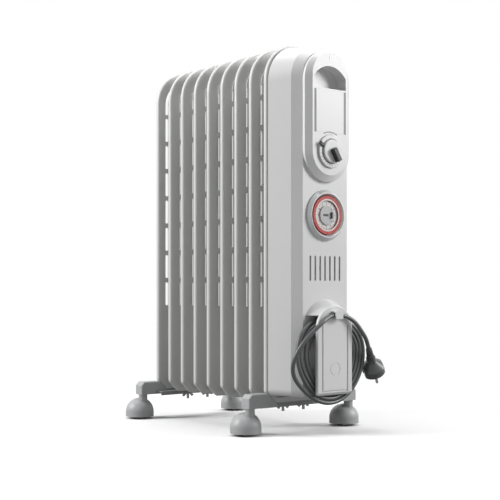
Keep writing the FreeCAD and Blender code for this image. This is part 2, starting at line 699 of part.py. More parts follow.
# ---------------------------------------------------------------- knob and power selector
def make_selector():
    """The power selector: a raised ring, a thin web and a hub through the plate."""
    back = PLATE_Y - POD_GAP
    web = ring_y(SELECTOR_RADIUS, SELECTOR_HUB_BORE, 0, KNOB_Z, back, back - SELECTOR_WEB)
    rim = ring_y(SELECTOR_RADIUS, SELECTOR_INNER, 0, KNOB_Z, back, back - SELECTOR_HEIGHT)
    rim = rim.makeFillet(SELECTOR_SOFT, edges_at(rim, back - SELECTOR_HEIGHT))
    hub = ring_y(SELECTOR_HUB_RADIUS, SELECTOR_HUB_BORE, 0, KNOB_Z, FRONT_Y - SELECTOR_END_GAP, back)
    return web.fuse(rim).fuse(hub)


def make_selector_tab():
    """The dark lever on the selector's ring."""
    front = PLATE_Y - POD_GAP - SELECTOR_HEIGHT
    tab = box(SELECTOR_INNER + TAB_INSET, SELECTOR_RADIUS + TAB_OVERHANG, front - TAB_PROUD, front,
              -TAB_WIDTH / 2, TAB_WIDTH / 2)
    tab = tab.makeFillet(TAB_SOFT, edges_at(tab, front - TAB_PROUD))
    tab.rotate(Vec(0, 0, 0), Vec(0, -1, 0), TAB_ANGLE)
    tab.translate(Vec(0, 0, KNOB_Z))
    return tab


def make_knob():
    """The thermostat knob's disc."""
    back = PLATE_Y - POD_GAP - SELECTOR_WEB - KNOB_LIFT
    disc = rod_y(KNOB_RADIUS, 0, KNOB_Z, back, back - KNOB_THICK)
    disc = disc.makeFillet(KNOB_SOFT, edges_at(disc, back - KNOB_THICK))
    return disc.cut(rod_y(SPINDLE_RADIUS, 0, KNOB_Z, back + 1, back - SPINDLE_SEAT))


def make_grip():
    """The dark finger grip that stands out of the knob, from its middle to its edge."""
    back = PLATE_Y - POD_GAP - SELECTOR_WEB - KNOB_LIFT - KNOB_THICK
    front = back - GRIP_PROUD + POD_GAP
    grip = box(-GRIP_WIDTH / 2, GRIP_END, front, back, -GRIP_WIDTH / 2, GRIP_WIDTH / 2)
    grip = grip.makeFillet(GRIP_SOFT, [e for e in grip.Edges if abs(e.BoundBox.YMin - back) > 1e-6])
    grip.rotate(Vec(0, 0, 0), Vec(0, -1, 0), GRIP_ANGLE)
    grip.translate(Vec(0, 0, KNOB_Z))
    return grip


def make_spindle():
    """The thermostat's spindle, seated in the knob and turning in the thermostat."""
    knob_back = PLATE_Y - POD_GAP - SELECTOR_WEB - KNOB_LIFT
    return rod_y(SPINDLE_RADIUS, 0, KNOB_Z, INNER_FRONT_Y + SPINDLE_DEPTH, knob_back - SPINDLE_SEAT)


def make_thermostat():
    """The thermostat's case behind the housing's front, with the spindle's bearing."""
    back = INNER_FRONT_Y + THERMOSTAT_DEPTH
    front = INNER_FRONT_Y + POD_GAP
    case = box(-THERMOSTAT_HALF, THERMOSTAT_HALF, front, back,
               KNOB_Z - THERMOSTAT_HALF, KNOB_Z + THERMOSTAT_HALF)
    return case.cut(rod_y(SPINDLE_RADIUS + RUNNING_FIT, 0, KNOB_Z,
                          INNER_FRONT_Y + SPINDLE_DEPTH + SPINDLE_END_GAP, front - 1))


def make_switch():
    """The ring-shaped power switch between the pod's plate and the housing's front."""
    return ring_y(SWITCH_RADIUS, SELECTOR_HUB_RADIUS + POD_GAP, 0, KNOB_Z,
                  FRONT_Y, PLATE_Y + POD_WALL)


# ---------------------------------------------------------------- timer
def make_timer_bezel():
    """The bevelled ring round the timer."""
    front = FRONT_Y - TIMER_BEZEL_PROUD
    ring = ring_y(TIMER_BEZEL_RADIUS, TIMER_OPENING, 0, TIMER_Z, FRONT_Y, front)
    outer = [e for e in edges_at(ring, front) if e.BoundBox.XLength > 2 * TIMER_OPENING + 1]
    ring = ring.makeChamfer(TIMER_BEZEL_CHAMFER, outer)
    return ring.cut(cone_y(TIMER_OPENING, TIMER_LIP_RADIUS, 0, TIMER_Z, front + TIMER_LIP_SLOPE, front))


def make_timer_body():
    """The clockwork's case with the fixed post that carries the centre disc."""
    front = FRONT_Y - TIMER_SETBACK
    case = rod_y(TIMER_BODY_RADIUS, 0, TIMER_Z, front + TIMER_BODY_DEPTH, front)
    dial_front = front - POD_GAP - DIAL_WEB
    post = rod_y(TIMER_POST_RADIUS, 0, TIMER_Z, front, dial_front - POD_GAP)
    return case.fuse(post)


def make_timer_dial():
    """The turning dial, a thin disc round the fixed post."""
    back = FRONT_Y - TIMER_SETBACK - POD_GAP
    return ring_y(TAPPET_INNER, TIMER_POST_RADIUS + RUNNING_FIT, 0, TIMER_Z, back, back - DIAL_WEB)


def make_tappets():
    """The ring of switching tappets round the dial, each parted from the next by a gap."""
    back = FRONT_Y - TIMER_SETBACK - POD_GAP
    front = back - TAPPET_HEIGHT
    ring = ring_y(TAPPET_RADIUS, TAPPET_INNER, 0, TIMER_Z, back, front)
    gaps = []
    for index in range(TAPPET_COUNT):
        gap = box(TAPPET_INNER - 0.5, TAPPET_RADIUS + 1, front - 1, back - DIAL_WEB,
                  -TAPPET_GAP / 2, TAPPET_GAP / 2)
        gap.rotate(Vec(0, 0, 0), Vec(0, 1, 0), 360.0 * index / TAPPET_COUNT)
        gap.translate(Vec(0, 0, TIMER_Z))
        gaps.append(gap)
    return ring.cut(Part.makeCompound(gaps))


def make_timer_centre():
    """The fixed centre disc on the post, with the mode lever's bore."""
    back = FRONT_Y - TIMER_SETBACK - 2 * POD_GAP - DIAL_WEB
    disc = rod_y(CENTRE_RADIUS, 0, TIMER_Z, back, back - CENTRE_SHEET)
    disc = disc.makeFillet(CENTRE_SOFT, edges_at(disc, back - CENTRE_SHEET))
    return disc.cut(rod_y(MODE_PIN_RADIUS + RUNNING_FIT, MODE_OFFSET, TIMER_Z, back + 1,
                          back - CENTRE_SHEET - 1))


def make_mode_lever():
    """The small two-headed lever that selects on, off or timed."""
    back = FRONT_Y - TIMER_SETBACK - 3 * POD_GAP - DIAL_WEB - CENTRE_SHEET
    tip = MODE_HALF_LENGTH
    neck = MODE_WIDTH / 4
    outline = [(0, tip), (MODE_WIDTH / 2, tip / 2), (neck, tip / 2), (neck, -tip / 2),
               (MODE_WIDTH / 2, -tip / 2), (0, -tip), (-MODE_WIDTH / 2, -tip / 2),
               (-neck, -tip / 2), (-neck, tip / 2), (-MODE_WIDTH / 2, tip / 2), (0, tip)]
    points = [Vec(MODE_OFFSET + x, back - MODE_PROUD, TIMER_Z + z) for x, z in outline]
    lever = Part.Face(Part.makePolygon(points)).extrude(Vec(0, MODE_PROUD, 0))
    pin = rod_y(MODE_PIN_RADIUS, MODE_OFFSET, TIMER_Z, back + CENTRE_SHEET, back - MODE_PROUD)
    return lever.fuse(pin)


# ---------------------------------------------------------------- inside the housing
def make_cutout():
    """The thermal cut-out on the back panel, beside the element."""
    back = REAR_Y - FIN_SHEET
    front = back - CUTOUT_DEPTH
    unit = rod_y(CUTOUT_RADIUS, CUTOUT_X, CUTOUT_Z, back, front)
    for side in (-1, 1):
        x = CUTOUT_X + side * CUTOUT_TAB_X
        unit = unit.fuse(box(x - CUTOUT_TAB_HALF, x + CUTOUT_TAB_HALF, front - CUTOUT_TAB_LENGTH,
                             front + 1, CUTOUT_Z - TERMINAL_SHEET / 2, CUTOUT_Z + TERMINAL_SHEET / 2))
    return unit


def make_terminal_block():
    """The mains terminal block on the back panel."""
    back = REAR_Y - FIN_SHEET
    front = back - BLOCK_SIDE
    middle = BLOCK_SIDE / 2
    block = box(*BLOCK_X, front, back, BLOCK_Z, BLOCK_Z + BLOCK_SIDE)
    for step in range(BLOCK_WAYS):
        x = (BLOCK_X[0] + BLOCK_X[1]) / 2 + (step - (BLOCK_WAYS - 1) / 2) * BLOCK_PITCH
        block = block.cut(rod(BLOCK_SCREW_RADIUS, BLOCK_SIDE, Vec(x, back - middle, BLOCK_Z + middle),
                              Vec(0, 0, 1)))
        block = block.cut(rod_y(BLOCK_WIRE_RADIUS, x, BLOCK_Z + middle, back - middle, front - 1))
    return block


# ---------------------------------------------------------------- cord wrap
def flange_outline(inset=0.0):
    """The wrap's front flange: square below, round above."""
    half = FLANGE_HALF - inset
    return arch_outline(half, FLANGE_BOTTOM_Z + inset, FLANGE_TOP_Z - inset, FLANGE_CORNER, half - 0.01)


def wrap_hood():
    """The flared hood over the cord's turns, between the housing's front and the flange."""
    back_half = WRAP_HOOD_BASE
    upper = box(-BIG, BIG, FLANGE_Y, FRONT_Y, WRAP_CENTRE_Z + WRAP_HOOD_RISE, BIG)
    front = FLANGE_Y + FLANGE_SHEET
    outer = cone_y(back_half, FLANGE_HALF, 0, WRAP_CENTRE_Z, FRONT_Y, front)
    inner = cone_y(back_half - WRAP_HOOD_SHEET, FLANGE_HALF - WRAP_HOOD_SHEET, 0, WRAP_CENTRE_Z,
                   FRONT_Y, front)
    return outer.cut(inner).common(upper)


def wrap_neck():
    """The neck that carries the flange and that the cord winds round."""
    neck = slab(stadium(NECK_RADIUS, NECK_LOW_Z, NECK_HIGH_Z), FRONT_Y, FLANGE_Y + FLANGE_SHEET)
    return neck.cut(gland_rod(GLAND_RADIUS, GLAND_SEAT, 1.0))


def wrap_flange():
    """The flange with its grooved panel, and a round blank where an emblem would sit."""
    plate = slab(flange_outline(), FLANGE_Y + FLANGE_SHEET, FLANGE_Y)
    plate = plate.makeFillet(FLANGE_SOFT, edges_at(plate, FLANGE_Y))
    spare = 1.0
    low = FLANGE_BOTTOM_Z - spare
    wedge = [Vec(-BIG, FLANGE_Y - spare, low), Vec(-BIG, FLANGE_Y + FLANGE_BEVEL + spare, low),
             Vec(-BIG, FLANGE_Y - spare, FLANGE_BOTTOM_Z + FLANGE_BEVEL + spare)]
    plate = plate.cut(Part.Face(Part.makePolygon(wedge + wedge[:1])).extrude(Vec(2 * BIG, 0, 0)))
    groove_y = FLANGE_Y + PANEL_GROOVE_DEPTH
    low = FLANGE_BOTTOM_Z + PANEL_GROOVE_LOW
    outer = PANEL_HALF + PANEL_GROOVE
    for side in (-1, 1):
        inner_x, outer_x = sorted((side * PANEL_HALF, side * outer))
        plate = plate.cut(box(inner_x, outer_x, FLANGE_Y - 1, groove_y, low,
                              WRAP_CENTRE_Z + PANEL_GROOVE_HIGH))
    plate = plate.cut(box(-outer, outer, FLANGE_Y - 1, groove_y, low, low + PANEL_GROOVE))
    return plate.cut(ring_y(EMBLEM_RADIUS, EMBLEM_RADIUS - EMBLEM_RING, 0, EMBLEM_Z,
                            FLANGE_Y + EMBLEM_DEPTH, FLANGE_Y - 1))


def wrap_clip():
    """The strap on the flange that holds the cord's last stretch."""
    front = FLANGE_Y - CLIP_REACH
    inner_half = CORD_RADIUS + CLIP_CLEARANCE
    low = CLIP_Z - inner_half
    high = CLIP_Z + inner_half
    strap = box(-CLIP_HALF, CLIP_HALF, front - CLIP_SHEET, FLANGE_Y, low - CLIP_SHEET, high + CLIP_SHEET)
    return strap.cut(box(-CLIP_HALF - 1, CLIP_HALF + 1, front, FLANGE_Y + 1, low, high))


# ---------------------------------------------------------------- crossbars and castors
def bar_span(front):
    """The depths that a crossbar covers, rear edge then front edge."""
    if front:
        return FIN_LAST_Y + BAR_INNER_REACH, FIN_LAST_Y - BAR_FRONT_REACH
    return FIN_1_Y + BAR_OUTER_REACH, FIN_1_Y - BAR_INNER_REACH


def ubolt_y(front):
    """The depth of a crossbar's U-bolt, midway between its two fins."""
    return FIN_LAST_Y + FIN_PITCH / 2 if front else FIN_1_Y - FIN_PITCH / 2


def make_crossbar(front):
    """A folded steel channel under the fins."""
    y_back, y_front = bar_span(front)
    outer = box(-BAR_HALF_LENGTH, BAR_HALF_LENGTH, y_front, y_back, BAR_TOP_Z - BAR_DEPTH_Z, BAR_TOP_Z)
    inner = box(-BIG, BIG, y_front + BAR_SHEET, y_back - BAR_SHEET, BAR_TOP_Z - BAR_DEPTH_Z - 1,
                BAR_TOP_Z - BAR_SHEET)
    bar = outer.cut(inner)
    leg = HEADER_RADIUS + UBOLT_GAP + UBOLT_ROD
    for side in (-1, 1):
        bar = bar.cut(rod(UBOLT_ROD + HOLE_CLEARANCE, BIG, Vec(side * leg, ubolt_y(front), 0), Vec(0, 0, 1)))
    return bar


def make_arm(front, side):
    """The plastic arm on a crossbar's end, which holds a castor's stem."""
    middle = FIN_LAST_Y if front else FIN_1_Y
    slope = FIN_HALF_WIDTH - FIN_BOTTOM_CUT - FIN_BOTTOM_Z + ARM_LIFT_GAP
    top_inner = max(ARM_TOP_Z + slope, FIN_HALF_WIDTH + ARM_LIFT_GAP)
    corners = [(ARM_INNER_X, ARM_BOTTOM_Z), (ARM_OUTER_X, ARM_BOTTOM_Z),
               (ARM_OUTER_X, ARM_TOP_Z - ARM_CHAMFER), (ARM_OUTER_X - ARM_CHAMFER, ARM_TOP_Z),
               (top_inner, ARM_TOP_Z), (ARM_INNER_X, ARM_INNER_X - slope)]
    points = [Vec(side * x, middle - ARM_HALF_DEPTH, z) for x, z in corners]
    arm = Part.Face(Part.makePolygon(points + points[:1])).extrude(Vec(0, 2 * ARM_HALF_DEPTH, 0))
    outer_x = side * ARM_OUTER_X
    soft = [e for e in arm.Edges if e.BoundBox.ZMin > ARM_TOP_Z - ARM_CHAMFER - 1
            or (e.BoundBox.YLength < 1e-6 and abs(e.BoundBox.Center.x - outer_x) < 1e-6)]
    arm = arm.makeFillet(ARM_SOFT, soft)
    # the slot for the channel's top and its two folded sides
    y_back, y_front = bar_span(front)
    gap = BAR_GAP
    slot = box(-BAR_HALF_LENGTH - gap, BAR_HALF_LENGTH + gap, y_front - gap, y_back + gap,
               BAR_TOP_Z - BAR_DEPTH_Z - gap, BAR_TOP_Z + gap)
    core = box(-BIG, BIG, y_front + BAR_SHEET + gap, y_back - BAR_SHEET - gap, 0,
               BAR_TOP_Z - BAR_SHEET - gap)
    arm = arm.cut(slot.cut(core))
    return arm.cut(rod(STEM_RADIUS + RUNNING_FIT, STEM_TOP_Z - 1,
                       Vec(side * STEM_X, middle, 1), Vec(0, 0, 1)))


def castor_place(front, side):
    """The stem's X and Y."""
    return side * STEM_X, (FIN_LAST_Y if front else FIN_1_Y)


def make_hood(front, side):
    """A castor's domed hood with its boss and the web between the wheels."""
    x, y = castor_place(front, side)
    cy = y + CASTOR_TRAIL

    def dome(radius, top, bottom, soft):
        body = rod(radius, top - bottom, Vec(x, cy, bottom), Vec(0, 0, 1))
        return body.makeFillet(soft, [e for e in body.Edges if e.BoundBox.ZMin > top - 1e-6])

    outer = dome(HOOD_RADIUS, HOOD_TOP_Z, HOOD_BOTTOM_Z, HOOD_SOFT)
    inner = dome(HOOD_RADIUS - HOOD_WALL, HOOD_TOP_Z - HOOD_WALL, HOOD_BOTTOM_Z - 1, HOOD_SOFT - HOOD_WALL)
    shell = outer.cut(inner)
    web = box(x - WEB_HALF, x + WEB_HALF, cy - HOOD_RADIUS, cy + HOOD_RADIUS,
              WHEEL_RADIUS - 3 * AXLE_RADIUS, HOOD_TOP_Z).common(outer)
    boss_top = ARM_BOTTOM_Z - HOOD_BOSS_GAP
    boss_low = HOOD_TOP_Z - HOOD_SOFT / 2
    boss = rod(HOOD_BOSS_RADIUS, boss_top - boss_low, Vec(x, y, boss_low), Vec(0, 0, 1)).cut(inner)
    hood = shell.fuse(web).fuse(boss)
    hood = hood.cut(rod(STEM_RADIUS, BIG, Vec(x, y, WHEEL_RADIUS + 2 * AXLE_RADIUS), Vec(0, 0, 1)))
    return hood.cut(rod(AXLE_RADIUS, 2 * WEB_HALF + 2, Vec(x - WEB_HALF - 1, cy, WHEEL_RADIUS), Vec(1, 0, 0)))


def make_stem_and_axle(front, side):
    """The steel stem in the arm and the wheels' axle."""
    x, y = castor_place(front, side)
    low = WHEEL_RADIUS + 2 * AXLE_RADIUS
    stem = rod(STEM_RADIUS, STEM_TOP_Z - 1 - low, Vec(x, y, low), Vec(0, 0, 1))
    half = WHEEL_OFFSET + WHEEL_WIDTH / 2
    axle = rod(AXLE_RADIUS, 2 * half, Vec(x - half, y + CASTOR_TRAIL, WHEEL_RADIUS), Vec(1, 0, 0))
    return stem, axle


def make_wheel(front, side, wheel_side):
    """A castor wheel with a slightly rounded tread."""
    x, y = castor_place(front, side)
    cx = x + wheel_side * WHEEL_OFFSET
    start = Vec(cx - WHEEL_WIDTH / 2, y + CASTOR_TRAIL, WHEEL_RADIUS)
    wheel = rod(WHEEL_RADIUS, WHEEL_WIDTH, start, Vec(1, 0, 0))
    rims = [e for e in wheel.Edges if e.BoundBox.XLength < 1e-6]
    wheel = wheel.makeFillet(WHEEL_TREAD_ROUND, rims)
    return wheel.cut(rod(AXLE_RADIUS + RUNNING_FIT, WHEEL_WIDTH + 2, start - Vec(1, 0, 0), Vec(1, 0, 0)))


def make_ubolt(front):
    """The U-bolt that hangs a crossbar from the lower header."""
    y = ubolt_y(front)
    leg = HEADER_RADIUS + UBOLT_GAP + UBOLT_ROD
    arch = Part.makeTorus(leg, UBOLT_ROD, Vec(0, y, HEADER_LOW_Z), Vec(0, 1, 0))
    arch = arch.common(box(-BIG, BIG, y - BIG, y + BIG, HEADER_LOW_Z, BIG))
    for side in (-1, 1):
        arch = arch.fuse(rod(UBOLT_ROD, HEADER_LOW_Z - UBOLT_END_Z, Vec(side * leg, y, UBOLT_END_Z),
                             Vec(0, 0, 1)))
    return arch


def make_wing_nut(front, side):
    """A wing nut on a U-bolt's leg, tight against the underside of the crossbar."""
    y = ubolt_y(front)
    x = side * (HEADER_RADIUS + UBOLT_GAP + UBOLT_ROD)
    top = BAR_TOP_Z - BAR_SHEET
    nut = rod(WING_HUB_RADIUS, WING_HUB_HEIGHT, Vec(x, y, top - WING_HUB_HEIGHT), Vec(0, 0, 1))
    for wing in (-1, 1):
        x0 = x + wing * (WING_HUB_RADIUS - WING_ROOT)
        x1 = x + wing * WING_SPAN
        low = top - WING_HEIGHT
        points = [Vec(x0, y - WING_SHEET / 2, top - 1), Vec(x0, y - WING_SHEET / 2, top - WING_HUB_HEIGHT),
                  Vec(x1 - wing * WING_TIP, y - WING_SHEET / 2, low),
                  Vec(x1, y - WING_SHEET / 2, low + WING_TIP / 2)]
        blade = Part.Face(Part.makePolygon(points + points[:1])).extrude(Vec(0, WING_SHEET, 0))
        nut = nut.fuse(blade)
    return nut.cut(rod(UBOLT_ROD, BIG, Vec(x, y, 0), Vec(0, 0, 1)))


# ---------------------------------------------------------------- cord, gland and plug
def gland_rod(radius, length, spare):
    """The gland's seat inside the neck's right side."""
    start = Vec(NECK_RADIUS - length, GLAND_Y, GLAND_Z)
    return rod(radius, length + spare, start, Vec(1, 0, 0))


def make_gland():
    """The tapered strain relief that the cord leaves the neck through."""
    seat = gland_rod(GLAND_RADIUS, GLAND_SEAT, 0.0)
    nose = Part.makeCone(GLAND_RADIUS, CORD_RADIUS + GLAND_TIP_WALL, GLAND_NOSE,
                         Vec(NECK_RADIUS, GLAND_Y, GLAND_Z), Vec(1, 0, 0))
    return seat.fuse(nose)


def tangent_path(points):
    """Straight runs joined by tangent arcs, each as large as its two runs allow."""
    edges = []
    radii = []
    here = points[0]
    for i in range(1, len(points) - 1):
        back = points[i - 1] - points[i]
        ahead = points[i + 1] - points[i]
        short = min(back.Length, ahead.Length)
        back.normalize()
        ahead.normalize()
        turn = math.pi - back.getAngle(ahead)
        trim = 0.45 * short
        radius = trim / math.tan(turn / 2)
        bisector = back + ahead
        bisector.normalize()
        start = points[i] + back * trim
        end = points[i] + ahead * trim
        middle = points[i] + bisector * (radius / math.cos(turn / 2) - radius)
        edges.append(Part.LineSegment(here, start).toShape())
        edges.append(Part.Arc(start, middle, end).toShape())
        radii.append(radius)
        here = end
    edges.append(Part.LineSegment(here, points[-1]).toShape())
    return Part.Wire(edges), radii


def make_tube(points, radius):
    """A cord's tube along its route."""
    path, radii = tangent_path(points)
    axis = points[1] - points[0]
    section = Part.Wire([Part.makeCircle(radius, points[0], axis)])
    tube = path.makePipeShell([section], True, False, 1)
    expected = math.pi * radius * radius * path.Length
    print(f"cord run {path.Length:.1f} mm, volume ratio {tube.Volume / expected:.4f}, "
          f"radii {[round(r, 1) for r in radii]}")
    return tube


def make_coil():
    """The closed outer shape of the cord's loose turns round the neck."""
    corners = []
    step = math.pi / 4
    for k in range(8):
        angle = step * (k + 0.5)
        across = COIL_RIGHT if math.cos(angle) > 0 else COIL_LEFT
        upright = COIL_UP if math.sin(angle) > 0 else COIL_DOWN
        corners.append((across * math.cos(angle) / math.cos(step / 2),
                        GLAND_Z + upright * math.sin(angle) / math.cos(step / 2), COIL_ROUND))
    back = FRONT_Y - COIL_GAP
    coil = slab(corners, back, back - COIL_DEPTH)
    coil = coil.makeFillet(COIL_SOFT, edges_at(coil, back - COIL_DEPTH))
    coil = coil.cut(slab(stadium(NECK_RADIUS + COIL_GAP, NECK_LOW_Z, NECK_HIGH_Z), FRONT_Y, FLANGE_Y))
    return coil.cut(gland_rod(GLAND_RADIUS + POD_GAP, -COIL_GAP / 2, GLAND_NOSE))


def plug_placed(shape):
    """A plug piece, built downwards from the cord's end, turned onto the plug's axis."""
    turned = shape.copy()
    turned.Placement = FreeCAD.Placement(Vec(*TAIL_ROUTE[-1]), FreeCAD.Rotation(Vec(0, 0, 1), PLUG_AXIS))
    return turned


def make_plug():
    """The moulded plug: a ribbed strain relief, a neck with two tabs, a flare and a disc."""
    relief = Part.makeCone(RELIEF_TIP_RADIUS, RELIEF_BASE_RADIUS, RELIEF_LENGTH)
    pitch = RELIEF_LENGTH / (RELIEF_GROOVES + 1)
    for index in range(RELIEF_GROOVES):
        z = pitch * (index + 0.7)
        outer = rod(RELIEF_BASE_RADIUS + 1, RELIEF_GROOVE, Vec(0, 0, z), Vec(0, 0, 1))
        inner = rod(CORD_RADIUS + RELIEF_CORE, RELIEF_GROOVE, Vec(0, 0, z), Vec(0, 0, 1))
        relief = relief.cut(outer.cut(inner))
    neck_end = RELIEF_LENGTH + PLUG_NECK
    flare_end = neck_end + PLUG_FLARE
    neck = rod(PLUG_NECK_RADIUS, PLUG_NECK, Vec(0, 0, RELIEF_LENGTH), Vec(0, 0, 1))
    tab_x = PLUG_NECK_RADIUS + PLUG_TAB_REACH
    tab_z = RELIEF_LENGTH + PLUG_TAB_START
    tabs = box(-tab_x, tab_x, -PLUG_TAB_HALF, PLUG_TAB_HALF, tab_z, tab_z + PLUG_TAB_LENGTH)
    flare = Part.makeCone(PLUG_NECK_RADIUS, PLUG_RADIUS, PLUG_FLARE, Vec(0, 0, neck_end), Vec(0, 0, 1))
    disc = rod(PLUG_RADIUS, PLUG_DISC, Vec(0, 0, flare_end), Vec(0, 0, 1))
    plug = neck.fuse(tabs).fuse(flare).fuse(disc)
    sides = box(-PLUG_RADIUS, PLUG_RADIUS, -PLUG_FLAT, PLUG_FLAT, 0, flare_end + PLUG_DISC)
    plug = plug.common(sides).fuse(relief)
    face = flare_end + PLUG_DISC
    half = PLUG_NOTCH_WIDTH / 2
    for side in (-1, 1):
        plug = plug.cut(rod(PIN_SEAT_RADIUS, BIG, Vec(side * PIN_HALF_SPACING, 0, face - PIN_SEAT),
                            Vec(0, 0, 1)))
        near, far = sorted((side * (PLUG_FLAT - PLUG_NOTCH_DEPTH), side * (PLUG_FLAT + 1)))
        plug = plug.cut(box(-half, half, near, far, flare_end, face + 1))
    return plug_placed(plug)


def make_plug_pins():
    """The two round pins, each with a thinner shank seated in the disc."""
    face = RELIEF_LENGTH + PLUG_NECK + PLUG_FLARE + PLUG_DISC
    pins = []
    for side in (-1, 1):
        x = side * PIN_HALF_SPACING
        pin = rod(PIN_RADIUS, PIN_LENGTH, Vec(x, 0, face), Vec(0, 0, 1))
        tip = [e for e in pin.Edges if abs(e.BoundBox.ZMin - face - PIN_LENGTH) < 1e-6]
        pin = pin.makeFillet(PIN_TIP_ROUND, tip)
        shank = rod(PIN_SEAT_RADIUS, PIN_SEAT, Vec(x, 0, face - PIN_SEAT), Vec(0, 0, 1))
        pins.append(plug_placed(pin.fuse(shank)))
    return pins


# ---------------------------------------------------------------- build everything
os.makedirs("parts", exist_ok=True)

for fin_index in range(FIN_COUNT):
    export(f"fin_{fin_index + 1}", make_fin(fin_index))
export("oil_header_collars", *make_header(HEADER_LOW_Z, True), *make_header(HEADER_HIGH_Z, False),
       make_filler_plug())
element = make_heating_element()
export("heating_element", element)
export("oil_charge", make_oil(element))

export("housing_shell", make_housing())
export("housing_back_panel", make_back_panel())
export("control_pod", make_pod())
export("label_plate", make_label())
export("pilot_lamp_lens", lamp_block(0.0))
export("power_selector_ring", make_selector())
export("power_selector_tab", make_selector_tab())
export("thermostat_knob", make_knob())
export("thermostat_grip", make_grip())
export("thermostat_spindle", make_spindle())
export("thermostat_body", make_thermostat())
export("power_switch_body", make_switch())
export("timer_bezel", make_timer_bezel())
export("timer_body", make_timer_body())
export("timer_dial", make_timer_dial())
export("timer_tappets", make_tappets())
export("timer_centre_disc", make_timer_centre())
export("timer_mode_lever", make_mode_lever())
export("thermal_cutout", make_cutout())
export("terminal_block", make_terminal_block())
export("cord_wrap", wrap_neck().fuse(wrap_flange()).fuse(wrap_clip()))
export("cord_wrap_hood", wrap_hood())
export("cord_gland", make_gland())
export("cord_coil", make_coil())
export("cord_tail", make_tube([Vec(*point) for point in TAIL_ROUTE], CORD_RADIUS))
export("plug_body", make_plug())
export("plug_pins", *make_plug_pins())

for is_front, end in ((True, "front"), (False, "rear")):
    export(f"crossbar_{end}", make_crossbar(is_front))
    for hand, word in ((-1, "left"), (1, "right")):
        name = f"castor_{end}_{word}"
        export(f"{name}_hood", make_hood(is_front, hand))
        export(f"{name}_stem_and_axle", *make_stem_and_axle(is_front, hand))
        for which, place in ((-1, "left"), (1, "right")):
            export(f"{name}_wheel_{place}", make_wheel(is_front, hand, which))
export("castor_arms", *[make_arm(is_front, hand) for is_front in (True, False) for hand in (-1, 1)])
export("u_bolts", *[make_ubolt(is_front) for is_front in (True, False)])
export("wing_nuts", *[make_wing_nut(is_front, hand) for is_front in (True, False) for hand in (-1, 1)])
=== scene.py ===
import json
import math

import bmesh
import bpy
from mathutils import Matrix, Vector


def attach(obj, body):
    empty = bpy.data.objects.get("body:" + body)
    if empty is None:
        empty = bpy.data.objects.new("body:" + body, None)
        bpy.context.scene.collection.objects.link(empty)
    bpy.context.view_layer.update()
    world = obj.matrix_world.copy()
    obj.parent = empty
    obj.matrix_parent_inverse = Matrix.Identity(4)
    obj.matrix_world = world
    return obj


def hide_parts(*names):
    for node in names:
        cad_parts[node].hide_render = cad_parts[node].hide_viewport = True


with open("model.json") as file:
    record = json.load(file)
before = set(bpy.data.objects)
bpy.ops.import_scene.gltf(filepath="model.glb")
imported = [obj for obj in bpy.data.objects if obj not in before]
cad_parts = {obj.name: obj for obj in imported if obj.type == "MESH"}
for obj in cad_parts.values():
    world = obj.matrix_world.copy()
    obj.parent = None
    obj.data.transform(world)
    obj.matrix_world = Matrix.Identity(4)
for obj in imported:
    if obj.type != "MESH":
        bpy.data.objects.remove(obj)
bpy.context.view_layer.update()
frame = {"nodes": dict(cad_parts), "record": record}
NODES = frame["nodes"]
MM = 0.001

# ---------------------------------------------------------------- camera
SENSOR = 36.0
LENS = 79.25
EYE = (-1.2284, -1.50055, 0.2386)
EYE_TURN = -39.14          # degrees about Z
HORIZON_SHIFT = 0.076      # the horizon lies below the middle of the picture

camera_data = bpy.data.cameras.new("camera")
camera_data.sensor_width = SENSOR
camera_data.lens = LENS
camera_data.shift_y = HORIZON_SHIFT
camera_data.dof.use_dof = False
camera_data.clip_end = 200
camera = bpy.data.objects.new("camera", camera_data)
camera.location = EYE
camera.rotation_euler = (math.radians(90), 0, math.radians(EYE_TURN))
bpy.context.scene.collection.objects.link(camera)
bpy.context.scene.camera = camera

# ---------------------------------------------------------------- cord
CORD_DIAMETER = 0.007
CORD_EXIT = (0.040, -0.19285, 0.132)
COIL_CENTRE_Z = 132.0
LAYER_BACK = -190.5        # turns next to the housing
LAYER_FRONT = -198.2       # turns next to the flange
TURN_POINTS = 16
# the first bend out of the gland, a half circle down to the first turn, mm
FIRST_CENTRE = (41.0, 102.2)
FIRST_RADIUS = 29.8
FIRST_STEPS = 8
# half widths (mm) that the turns have at the left and right, and half heights at the bottom and top,
# by the angle run through, clockwise from the right
ACROSS = [(0, 70.0), (180, 46.0), (360, 50.5), (540, 51.6), (720, 58.0), (900, 61.6), (1080, 65.4),
          (1260, 69.4), (1440, 73.0), (1620, 78.0)]
UPRIGHT = [(90, 59.6), (270, 40.0), (450, 58.6), (630, 46.2), (810, 65.4), (990, 52.0), (1170, 72.2),
           (1350, 57.4), (1530, 79.0)]
DEPTHS = [(90, LAYER_BACK), (180, -193.0), (265, LAYER_FRONT), (480, LAYER_FRONT), (545, -195.5),
          (630, LAYER_BACK), (690, LAYER_FRONT), (850, LAYER_FRONT), (905, -194.0), (985, LAYER_FRONT),
          (1200, LAYER_FRONT), (1262, -196.4), (1350, LAYER_BACK), (1405, LAYER_FRONT), (1530, LAYER_FRONT),
          (1620, -195.6)]
FIRST_ANGLE = 112.0
LAST_ANGLE = 1566.0
# the last stretch, from the coil through the clip to the plug, mm
TAIL_ROUTE = [
    (-77.0, -195.3, 94.0), (-84.5, -200.0, 119.0), (-76.0, -207.0, 143.0), (-60.0, -215.0, 165.0),
    (-37.0, -219.0, 184.0), (-14.0, -213.5, 195.0), (15.0, -213.5, 195.0), (36.0, -216.5, 185.0),
    (48.5, -220.5, 168.4), (59.5, -221.9, 152.9), (69.2, -216.3, 138.3),
]


